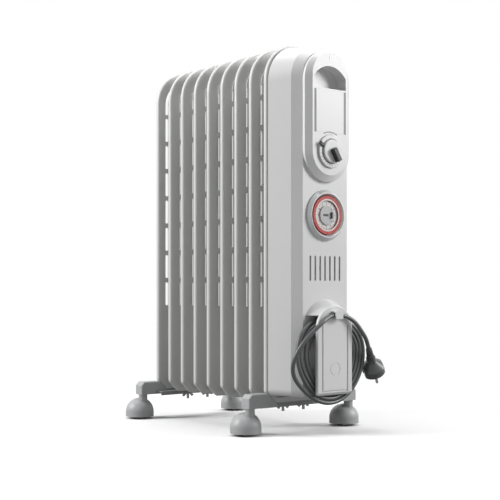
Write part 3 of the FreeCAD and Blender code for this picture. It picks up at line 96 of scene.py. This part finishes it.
def eased(keys, at):
    """The value between keys, with a smooth start and end on each stretch."""
    if at <= keys[0][0]:
        return keys[0][1]
    for (a, low), (b, high) in zip(keys, keys[1:]):
        if at <= b:
            share = (at - a) / (b - a)
            return low + (high - low) * (1 - math.cos(math.pi * share)) / 2
    return keys[-1][1]


def first_points():
    """The control points of the bend from the gland to the first turn."""
    points = []
    step = math.pi / FIRST_STEPS
    reach = FIRST_RADIUS / math.cos(step / 2)
    for k in range(FIRST_STEPS):
        turn = math.pi / 2 - step * (k + 0.5)
        points.append((FIRST_CENTRE[0] + reach * math.cos(turn),
                       eased([(0, CORD_EXIT[1] / MM), (FIRST_STEPS - 3, LAYER_BACK)], k),
                       FIRST_CENTRE[1] + reach * math.sin(turn)))
    points.extend((x, LAYER_BACK, FIRST_CENTRE[1] - FIRST_RADIUS) for x in (35.0, 22.0, 4.0))
    return points


def coil_points():
    """The control points of the loose turns."""
    points = []
    steps = round((LAST_ANGLE - FIRST_ANGLE) / 360 * TURN_POINTS)
    outward = 1 / math.cos(math.pi / TURN_POINTS) ** 1.5
    for step in range(steps + 1):
        angle = FIRST_ANGLE + (LAST_ANGLE - FIRST_ANGLE) * step / steps
        turn = math.radians(angle)
        x = eased(ACROSS, angle) * math.cos(turn) * outward
        z = COIL_CENTRE_Z - eased(UPRIGHT, angle) * math.sin(turn) * outward
        points.append((x, eased(DEPTHS, angle), z))
    return points


def nurbs(name, points, diameter):
    """A round cord along one open NURBS spline through its control points, in mm."""
    curve = bpy.data.curves.new(name, "CURVE")
    curve.dimensions = "3D"
    curve.bevel_depth = 1.0
    curve.bevel_resolution = 6
    curve.resolution_u = 8
    curve.use_fill_caps = True
    spline = curve.splines.new("NURBS")
    spline.points.add(len(points) - 1)
    for point, (x, y, z) in zip(spline.points, points):
        point.co = (x * MM, y * MM, z * MM, 1)
        point.radius = diameter / 2
    spline.order_u = 3
    spline.use_endpoint_u = True
    made = bpy.data.objects.new(name, curve)
    bpy.context.scene.collection.objects.link(made)
    return made


cord = nurbs("mains_cord", [tuple(c / MM for c in CORD_EXIT)] + first_points() + coil_points() + TAIL_ROUTE,
             CORD_DIAMETER)
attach(cord, "heater")
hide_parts("cord_coil", "cord_tail")


# ---------------------------------------------------------------- materials
def material(name, colour, rough, metallic=0.0, shade=0.06, patch=9.0, grain=900.0, bump=0.02, rise=0.0002,
             coat=0.0, stretch=(1, 1, 1), mottle=0.05):
    """A finish with slow colour variation, fine grain in the gloss and a bump of real depth (m)."""
    made = bpy.data.materials.new(name)
    made.use_nodes = True
    tree = made.node_tree
    shader = tree.nodes["Principled BSDF"]
    shader.inputs["Metallic"].default_value = metallic
    shader.inputs["Coat Weight"].default_value = coat
    shader.inputs["Coat Roughness"].default_value = 0.15
    place = tree.nodes.new("ShaderNodeTexCoord")
    scaled = tree.nodes.new("ShaderNodeMapping")
    scaled.inputs["Scale"].default_value = stretch
    tree.links.new(place.outputs["Object"], scaled.inputs["Vector"])
    slow = tree.nodes.new("ShaderNodeTexNoise")
    slow.inputs["Scale"].default_value = patch
    slow.inputs["Detail"].default_value = 3
    fine = tree.nodes.new("ShaderNodeTexNoise")
    fine.inputs["Scale"].default_value = grain
    fine.inputs["Detail"].default_value = 2
    for noise in (slow, fine):
        tree.links.new(scaled.outputs["Vector"], noise.inputs["Vector"])
    tint = tree.nodes.new("ShaderNodeMix")
    tint.data_type = "RGBA"
    tint.inputs[6].default_value = (*[c * (1 - shade) for c in colour], 1)
    tint.inputs[7].default_value = (*[min(1, c * (1 + shade * 0.5)) for c in colour], 1)
    tree.links.new(slow.outputs["Fac"], tint.inputs[0])
    speck = tree.nodes.new("ShaderNodeMix")
    speck.data_type = "RGBA"
    speck.blend_type = "MULTIPLY"
    speck.inputs[0].default_value = mottle
    tree.links.new(tint.outputs[2], speck.inputs[6])
    tree.links.new(fine.outputs["Fac"], speck.inputs[7])
    tree.links.new(speck.outputs[2], shader.inputs["Base Color"])
    gloss = tree.nodes.new("ShaderNodeMapRange")
    gloss.inputs["To Min"].default_value = max(0.02, rough - 0.07)
    gloss.inputs["To Max"].default_value = min(1.0, rough + 0.07)
    tree.links.new(fine.outputs["Fac"], gloss.inputs["Value"])
    tree.links.new(gloss.outputs["Result"], shader.inputs["Roughness"])
    raised = tree.nodes.new("ShaderNodeBump")
    raised.inputs["Strength"].default_value = bump
    raised.inputs["Distance"].default_value = rise
    tree.links.new(fine.outputs["Fac"], raised.inputs["Height"])
    tree.links.new(raised.outputs["Normal"], shader.inputs["Normal"])
    return made


LOOKS = {
    "painted_steel": material("enamelled_steel", (0.66, 0.665, 0.655), 0.38, shade=0.03, grain=420, bump=0.25,
                              coat=0.15),
    # zinc plating's grey, darkened further as painted shade for the wing nuts and bolt ends under the crossbar
    "bright_steel": material("zinc_steel_with_painted_shade", (0.33, 0.33, 0.32), 0.34, metallic=0.9, shade=0.12, patch=40,
                             grain=1500, bump=0.15, stretch=(1, 1, 0.15)),
    "oil": material("mineral_oil", (0.55, 0.42, 0.12), 0.2, shade=0.05),
    "white_plastic": material("white_plastic", (0.74, 0.745, 0.74), 0.33, shade=0.025, patch=6, grain=1300,
                              bump=0.12, rise=0.0001),
    "silver_plastic": material("silver_painted_plastic", (0.62, 0.63, 0.64), 0.34, metallic=0.25, shade=0.05,
                               patch=30, grain=2600, bump=0.1, rise=0.0001, coat=0.3, mottle=0.12),
    "galvanised_steel": material("galvanised_steel", (0.50, 0.51, 0.52), 0.42, metallic=0.85, shade=0.25,
                                 patch=60, grain=500, bump=0.1, mottle=0.2),
    "crossbar_steel": material("grey_painted_steel", (0.30, 0.305, 0.31), 0.42, shade=0.05, patch=20, grain=500,
                               bump=0.3),
    "dark_plastic": material("dark_textured_plastic", (0.028, 0.029, 0.032), 0.48, shade=0.2, patch=30,
                             grain=2200, bump=0.35, rise=0.0001, mottle=0.3),
    "inner_plastic": material("black_moulding", (0.035, 0.035, 0.037), 0.5, shade=0.2, patch=20, grain=1500,
                              bump=0.2),
    "red_plastic": material("red_plastic", (0.62, 0.10, 0.085), 0.3, shade=0.08, patch=40, grain=2200, bump=0.1,
                            rise=0.0001),
    "light_grey_plastic": material("light_grey_textured_plastic", (0.46, 0.465, 0.47), 0.4, shade=0.05,
                                   patch=18, grain=1800, bump=0.4, rise=0.00012, mottle=0.12),
    "wheel_plastic": material("black_wheel_plastic", (0.02, 0.02, 0.021), 0.42, shade=0.25, patch=40,
                              grain=1500, bump=0.3, mottle=0.2),
    "cord_rubber": material("soft_cord_sheath", (0.105, 0.107, 0.11), 0.3, shade=0.1, patch=25, grain=2600,
                            bump=0.25, rise=0.0001, mottle=0.15),
    "nickel_plate": material("nickel_plate", (0.66, 0.64, 0.58), 0.18, metallic=1.0, shade=0.05, patch=60,
                             grain=3000, bump=0.05),
}
PRINT = material("grey_print", (0.25, 0.255, 0.26), 0.5, shade=0.05, patch=60, grain=3000, bump=0.05)
DARK_PRINT = material("black_print", (0.03, 0.03, 0.032), 0.5, shade=0.1, patch=60, grain=3000, bump=0.05)
DIAL_WHITE = material("timer_dial_white", (0.72, 0.715, 0.70), 0.35, shade=0.03, patch=30, grain=2500, bump=0.1,
                      rise=0.0001)
DISC_GREY = material("timer_disc_grey", (0.50, 0.505, 0.51), 0.3, shade=0.04, patch=30, grain=2500, bump=0.1,
                     rise=0.0001)
LAMP = material("pilot_lamp_smoked", (0.035, 0.012, 0.012), 0.15, shade=0.2, patch=80, grain=2000, bump=0.05,
                coat=0.5)

for row in frame["record"]["subparts"]:
    mesh = NODES[row["node"]].data
    mesh.materials.clear()
    mesh.materials.append(LOOKS[row["material_slot"]])
for node, look in (("timer_dial", DIAL_WHITE), ("timer_centre_disc", DISC_GREY), ("pilot_lamp_lens", LAMP)):
    NODES[node].data.materials[0] = look
cord.data.materials.append(LOOKS["cord_rubber"])

# ---------------------------------------------------------------- printed and moulded details
FRONT_Y = -185.35
PLATE_Y = -197.35
KNOB_Z = 460.0
TIMER_Z = 357.0
DIAL_FRONT = -188.65
DISC_FRONT = -190.95
SELECTOR_FRONT = -200.85
TAPPET_FRONT = -191.25
PRINT_THICK = 0.12
FIN_COUNT = 9
FIN_1_Y = 183.65
FIN_PITCH = 38.7
# the strips pressed out along the air slots
FLAP_X = (54.0, 54.8)
FLAP_DEPTH = (0.6, 6.2)        # from the fin's middle towards the front
FLAP_COUNT = 7
FLAP_TOP_Z = 552.0
FLAP_LENGTH = 41.0
FLAP_PITCH = 50.6
FLAP_UPPER_Z = (561.0, 577.0)
# grey strips in the grooves beside the label plate: painted shade of the grooves
GROOVE_SHADE_X = (30.9, 34.4)
GROOVE_SHADE_Z = (490.4, 559.0)
GROOVE_SHADE_SET_BACK = 1.0
GROOVE_SHADE_THICK = 0.5
# a dark teardrop plate on the back wall of the handle pocket: painted shade of the dark spot below the pocket's
# ceiling
POCKET_SHADE_PLACE = (-21.0, 591.0)
POCKET_SHADE_HALF_WIDTH = 4.2
POCKET_SHADE_RISE = 7.5
POCKET_SHADE_DROP = 11.25
POCKET_SHADE_THICK = 3.0
POCKET_DEPTH = 22.0
# a dark sheet close behind the air vents: painted shade of the vents' depth
VENT_SHADE_HALF_WIDTH = 36.0
VENT_SHADE_Z = (246.0, 295.0)
VENT_SHADE_SET_BACK = 3.6
VENT_SHADE_THICK = 0.6


def piece(name, bm, body, look):
    """A finished mesh that rides on a body."""
    bmesh.ops.recalc_face_normals(bm, faces=bm.faces)
    mesh = bpy.data.meshes.new(name)
    bm.to_mesh(mesh)
    bm.free()
    made = bpy.data.objects.new(name, mesh)
    made.data.materials.append(look)
    bpy.context.scene.collection.objects.link(made)
    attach(made, body)
    return made


def plate(bm, outline, y_front, thick=PRINT_THICK):
    """A thin closed plate of an (x, z) outline in mm, its face towards the viewer at y_front."""
    front = [bm.verts.new((x * MM, (y_front - thick) * MM, z * MM)) for x, z in outline]
    back = [bm.verts.new((x * MM, y_front * MM, z * MM)) for x, z in outline]
    bm.faces.new(front)
    bm.faces.new(back[::-1])
    count = len(outline)
    for i in range(count):
        bm.faces.new((front[i], back[i], back[(i + 1) % count], front[(i + 1) % count]))


def block(bm, x, y, z):
    """A closed block between two corners, in mm."""
    verts = [bm.verts.new((px * MM, py * MM, pz * MM)) for px in x for py in y for pz in z]
    for quad in ((0, 1, 3, 2), (4, 6, 7, 5), (0, 4, 5, 1), (2, 3, 7, 6), (0, 2, 6, 4), (1, 5, 7, 3)):
        bm.faces.new([verts[i] for i in quad])


def arc(bm, x, z, inner, outer, start, end, y_front, steps=40, thick=PRINT_THICK):
    """A thin closed arc band; angles in degrees, anticlockwise from the right."""
    rows = []
    for i in range(steps + 1):
        turn = math.radians(start + (end - start) * i / steps)
        rows.append([(x + r * math.cos(turn), z + r * math.sin(turn)) for r in (inner, outer)])
    outline = [row[1] for row in rows] + [row[0] for row in rows[::-1]]
    verts = {}

    def at(px, pz, y):
        key = (round(px, 5), round(pz, 5), y)
        if key not in verts:
            verts[key] = bm.verts.new((px * MM, y * MM, pz * MM))
        return verts[key]

    for y, flip in ((y_front - thick, False), (y_front, True)):
        for a, b in zip(rows, rows[1:]):
            quad = [at(*a[0], y), at(*a[1], y), at(*b[1], y), at(*b[0], y)]
            bm.faces.new(quad[::-1] if flip else quad)
    count = len(outline)
    for i in range(count):
        a, b = outline[i], outline[(i + 1) % count]
        bm.faces.new((at(*a, y_front - thick), at(*b, y_front - thick), at(*b, y_front), at(*a, y_front)))


def tick(bm, x, z, inner, outer, angle, width, y_front):
    """A thin radial mark."""
    turn = math.radians(angle)
    along = (math.cos(turn), math.sin(turn))
    across = (-along[1] * width / 2, along[0] * width / 2)
    plate(bm, [(x + along[0] * r + side * across[0], z + along[1] * r + side * across[1])
               for r, side in ((inner, -1), (outer, -1), (outer, 1), (inner, 1))], y_front)


def figures(name, entries, body, look):
    """Thin raised figures: (text, x, z, height, turn in degrees, y_front) each, joined in one piece."""
    bm = bmesh.new()
    for text, x, z, height, turn, y_front in entries:
        curve = bpy.data.curves.new("figure", "FONT")
        curve.body = text
        curve.size = height * MM * 1.35
        curve.align_x = "CENTER"
        curve.align_y = "CENTER"
        curve.resolution_u = 3
        curve.extrude = PRINT_THICK * MM / 2
        holder = bpy.data.objects.new("figure", curve)
        mesh = bpy.data.meshes.new_from_object(holder)
        angle = math.radians(turn)
        for v in mesh.vertices:
            px, pz = v.co.x, v.co.y
            v.co = Vector((x * MM + px * math.cos(angle) - pz * math.sin(angle),
                           (y_front - PRINT_THICK / 2) * MM - v.co.z,
                           z * MM + px * math.sin(angle) + pz * math.cos(angle)))
        bm.from_mesh(mesh)
        bpy.data.objects.remove(holder)
        bpy.data.curves.remove(curve)
        bpy.data.meshes.remove(mesh)
    return piece(name, bm, body, look)


# the strips pressed out of the fins along the air slots
flaps = bmesh.new()
for fin in range(FIN_COUNT):
    y = FIN_1_Y - fin * FIN_PITCH
    depth = (y - FLAP_DEPTH[1], y - FLAP_DEPTH[0])
    for side in (-1, 1):
        x = sorted(side * edge for edge in FLAP_X)
        for step in range(FLAP_COUNT):
            top = FLAP_TOP_Z - step * FLAP_PITCH
            block(flaps, x, depth, (top - FLAP_LENGTH, top))
        block(flaps, x, depth, FLAP_UPPER_Z)
piece("fin_slot_flaps", flaps, "heater", LOOKS["painted_steel"])

# grey strips in the grooves beside the label plate: painted shade of the grooves' depth
groove_shade = bmesh.new()
for side in (-1, 1):
    near, far = (side * edge for edge in GROOVE_SHADE_X)
    low, high = GROOVE_SHADE_Z
    plate(groove_shade, [(near, low), (far, low), (far, high), (near, high)], PLATE_Y + GROOVE_SHADE_SET_BACK, GROOVE_SHADE_THICK)
piece("label_groove_painted_shade", groove_shade, "heater", PRINT)

# the dark teardrop plate inside the handle pocket, painted shade
pocket_shade = bmesh.new()
pocket_shade_outline = []
for k in range(16):
    turn = k * math.pi / 8
    reach = POCKET_SHADE_RISE if k < 8 else POCKET_SHADE_DROP
    pocket_shade_outline.append((POCKET_SHADE_PLACE[0] + POCKET_SHADE_HALF_WIDTH * math.cos(turn),
                         POCKET_SHADE_PLACE[1] + reach * math.sin(turn)))
plate(pocket_shade, pocket_shade_outline, PLATE_Y + POCKET_DEPTH, POCKET_SHADE_THICK)
piece("pocket_painted_shade", pocket_shade, "heater", DARK_PRINT)

# dark sheet close behind the air vents, painted shade of their depth
vent_shade = bmesh.new()
plate(vent_shade, [(-VENT_SHADE_HALF_WIDTH, VENT_SHADE_Z[0]), (VENT_SHADE_HALF_WIDTH, VENT_SHADE_Z[0]),
               (VENT_SHADE_HALF_WIDTH, VENT_SHADE_Z[1]), (-VENT_SHADE_HALF_WIDTH, VENT_SHADE_Z[1])],
      FRONT_Y + VENT_SHADE_SET_BACK, VENT_SHADE_THICK)
piece("vent_painted_shade", vent_shade, "heater", DARK_PRINT)

# a grey arc band round the selector on the pod's face
pod_arc = bmesh.new()
arc(pod_arc, 0, KNOB_Z, 30.6, 32.4, 62, 118, PLATE_Y)
piece("pod_grey_arc", pod_arc, "heater", PRINT)

# scale marks on the selector's ring
marks = bmesh.new()
for step in range(9):
    tick(marks, 0, KNOB_Z, 21.6, 24.6, 190 + step * 14, 0.7, SELECTOR_FRONT)
piece("selector_marks", marks, "power_selector", PRINT)
edge_line = bmesh.new()
arc(edge_line, 0, KNOB_Z, 19.9, 20.7, 0, 359.9, SELECTOR_FRONT, steps=72)
piece("selector_inner_line", edge_line, "power_selector", DARK_PRINT)

# the pale inner rim of the tappets
rim = bmesh.new()
arc(rim, 0, TIMER_Z, 24.1, 26.4, 0, 359.9, TAPPET_FRONT, steps=96)
piece("timer_dial_rim", rim, "timer_dial_body", DIAL_WHITE)

# a bare badge and small pointers on the timer's centre disc
badge = bmesh.new()
badge_outline = []
for k in range(18):
    turn = math.radians(10 + 20 * k)
    across = math.copysign(abs(math.cos(turn)) ** 0.35, math.cos(turn))
    upright = math.copysign(abs(math.sin(turn)) ** 0.5, math.sin(turn))
    badge_outline.append((-3.5 + 6.0 * across, TIMER_Z + 1.9 * upright))
plate(badge, badge_outline, DISC_FRONT)
for z, tip in ((9.0, 1), (-9.0, -1)):
    plate(badge, [(7.3, TIMER_Z + z), (9.7, TIMER_Z + z), (8.5, TIMER_Z + z + tip * 2.0)], DISC_FRONT)
piece("timer_disc_badge", badge, "heater", DARK_PRINT)

# hour marks and figures on the timer's dial
hours = bmesh.new()
for step in range(96):
    length = 3.0 if step % 4 == 0 else 1.6
    tick(hours, 0, TIMER_Z, 23.6 - length, 23.6, step * 3.75, 0.35 if step % 4 else 0.55, DIAL_FRONT)
piece("timer_hour_marks", hours, "timer_dial_body", DARK_PRINT)
hour_figures = []
for hour in range(0, 24, 2):
    angle = 90 - hour * 15
    turn = math.radians(angle)
    hour_figures.append((str(hour), 18.3 * math.cos(turn), TIMER_Z + 18.3 * math.sin(turn), 2.6, angle - 90,
                         DIAL_FRONT))
figures("timer_hour_figures", hour_figures, "timer_dial_body", DARK_PRINT)

# ---------------------------------------------------------------- stage and light
floor_mesh = bpy.data.meshes.new("floor")
HALF_FLOOR = 60.0
floor_mesh.from_pydata([(-HALF_FLOOR, -HALF_FLOOR, 0), (HALF_FLOOR, -HALF_FLOOR, 0),
                        (HALF_FLOOR, HALF_FLOOR, 0), (-HALF_FLOOR, HALF_FLOOR, 0)], [], [(0, 1, 2, 3)])
floor = bpy.data.objects.new("floor", floor_mesh)
bpy.context.scene.collection.objects.link(floor)
FLOOR_GLOW = 0.02
CLEAR_FROM = 0.34          # m from the middle, where the floor starts to go to plain white
CLEAR_TO = 0.85
floor_look = bpy.data.materials.new("white_floor")
floor_look.use_nodes = True
tree = floor_look.node_tree
tree.nodes.remove(tree.nodes["Principled BSDF"])
matt = tree.nodes.new("ShaderNodeBsdfDiffuse")
tone = tree.nodes.new("ShaderNodeMix")
tone.data_type = "RGBA"
tone.inputs[6].default_value = (0.30, 0.30, 0.30, 1)
tone.inputs[7].default_value = (0.93, 0.93, 0.93, 1)
glow = tree.nodes.new("ShaderNodeEmission")
path = tree.nodes.new("ShaderNodeLightPath")
tree.links.new(path.outputs["Is Camera Ray"], tone.inputs[0])
tree.links.new(tone.outputs[2], matt.inputs["Color"])
seen = tree.nodes.new("ShaderNodeMath")
seen.operation = "MAXIMUM"
tree.links.new(path.outputs["Is Camera Ray"], seen.inputs[0])
tree.links.new(path.outputs["Is Glossy Ray"], seen.inputs[1])
level = tree.nodes.new("ShaderNodeMath")
level.operation = "MULTIPLY"
level.inputs[1].default_value = FLOOR_GLOW
tree.links.new(seen.outputs[0], level.inputs[0])
tree.links.new(level.outputs[0], glow.inputs["Strength"])
both = tree.nodes.new("ShaderNodeAddShader")
tree.links.new(matt.outputs[0], both.inputs[0])
tree.links.new(glow.outputs[0], both.inputs[1])
spot = tree.nodes.new("ShaderNodeNewGeometry")
away = tree.nodes.new("ShaderNodeVectorMath")
away.operation = "LENGTH"
tree.links.new(spot.outputs["Position"], away.inputs[0])
clear = tree.nodes.new("ShaderNodeMapRange")
clear.interpolation_type = "SMOOTHSTEP"
clear.inputs["From Min"].default_value = CLEAR_FROM
clear.inputs["From Max"].default_value = CLEAR_TO
tree.links.new(away.outputs["Value"], clear.inputs["Value"])
share = tree.nodes.new("ShaderNodeMath")
share.operation = "MULTIPLY"
tree.links.new(clear.outputs["Result"], share.inputs[0])
tree.links.new(seen.outputs[0], share.inputs[1])
plain = tree.nodes.new("ShaderNodeEmission")
mixed = tree.nodes.new("ShaderNodeMixShader")
tree.links.new(share.outputs[0], mixed.inputs[0])
tree.links.new(both.outputs[0], mixed.inputs[1])
tree.links.new(plain.outputs[0], mixed.inputs[2])
tree.links.new(mixed.outputs[0], tree.nodes["Material Output"].inputs["Surface"])
floor.data.materials.append(floor_look)

WORLD_LIGHT = 0.22
world = bpy.data.worlds.new("studio")
bpy.context.scene.world = world
world.use_nodes = True
tree = world.node_tree
back = tree.nodes["Background"]
path = tree.nodes.new("ShaderNodeLightPath")
first = tree.nodes.new("ShaderNodeMath")
first.operation = "MAXIMUM"
tree.links.new(path.outputs["Is Camera Ray"], first.inputs[0])
tree.links.new(path.outputs["Is Transmission Ray"], first.inputs[1])
second = tree.nodes.new("ShaderNodeMath")
second.operation = "MAXIMUM"
tree.links.new(first.outputs[0], second.inputs[0])
tree.links.new(path.outputs["Is Glossy Ray"], second.inputs[1])
strength = tree.nodes.new("ShaderNodeMapRange")
strength.inputs["To Min"].default_value = WORLD_LIGHT
strength.inputs["To Max"].default_value = 1.0
tree.links.new(second.outputs[0], strength.inputs["Value"])
tree.links.new(strength.outputs["Result"], back.inputs["Strength"])
back.inputs["Color"].default_value = (1, 1, 1, 1)


def lamp(name, place, aim, power, width, height):
    """A soft rectangular lamp that points at a place."""
    data = bpy.data.lights.new(name, "AREA")
    data.shape = "RECTANGLE"
    data.size = width
    data.size_y = height
    data.energy = power
    made = bpy.data.objects.new(name, data)
    made.location = place
    made.rotation_euler = (Vector(aim) - Vector(place)).to_track_quat("-Z", "Y").to_euler()
    bpy.context.scene.collection.objects.link(made)
    return made


AIM = (0, 0, 0.32)
lamp("left_lamp", (-2.4, 1.3, 1.7), AIM, 84, 1.2, 1.6)
lamp("front_lamp", (2.1, -2.1, 1.6), AIM, 74, 1.2, 1.4)
lamp("top_lamp", (0.1, 0.1, 2.6), AIM, 36, 1.8, 1.8)

bpy.context.scene.view_settings.view_transform = "Standard"

bpy.context.view_layer.update()
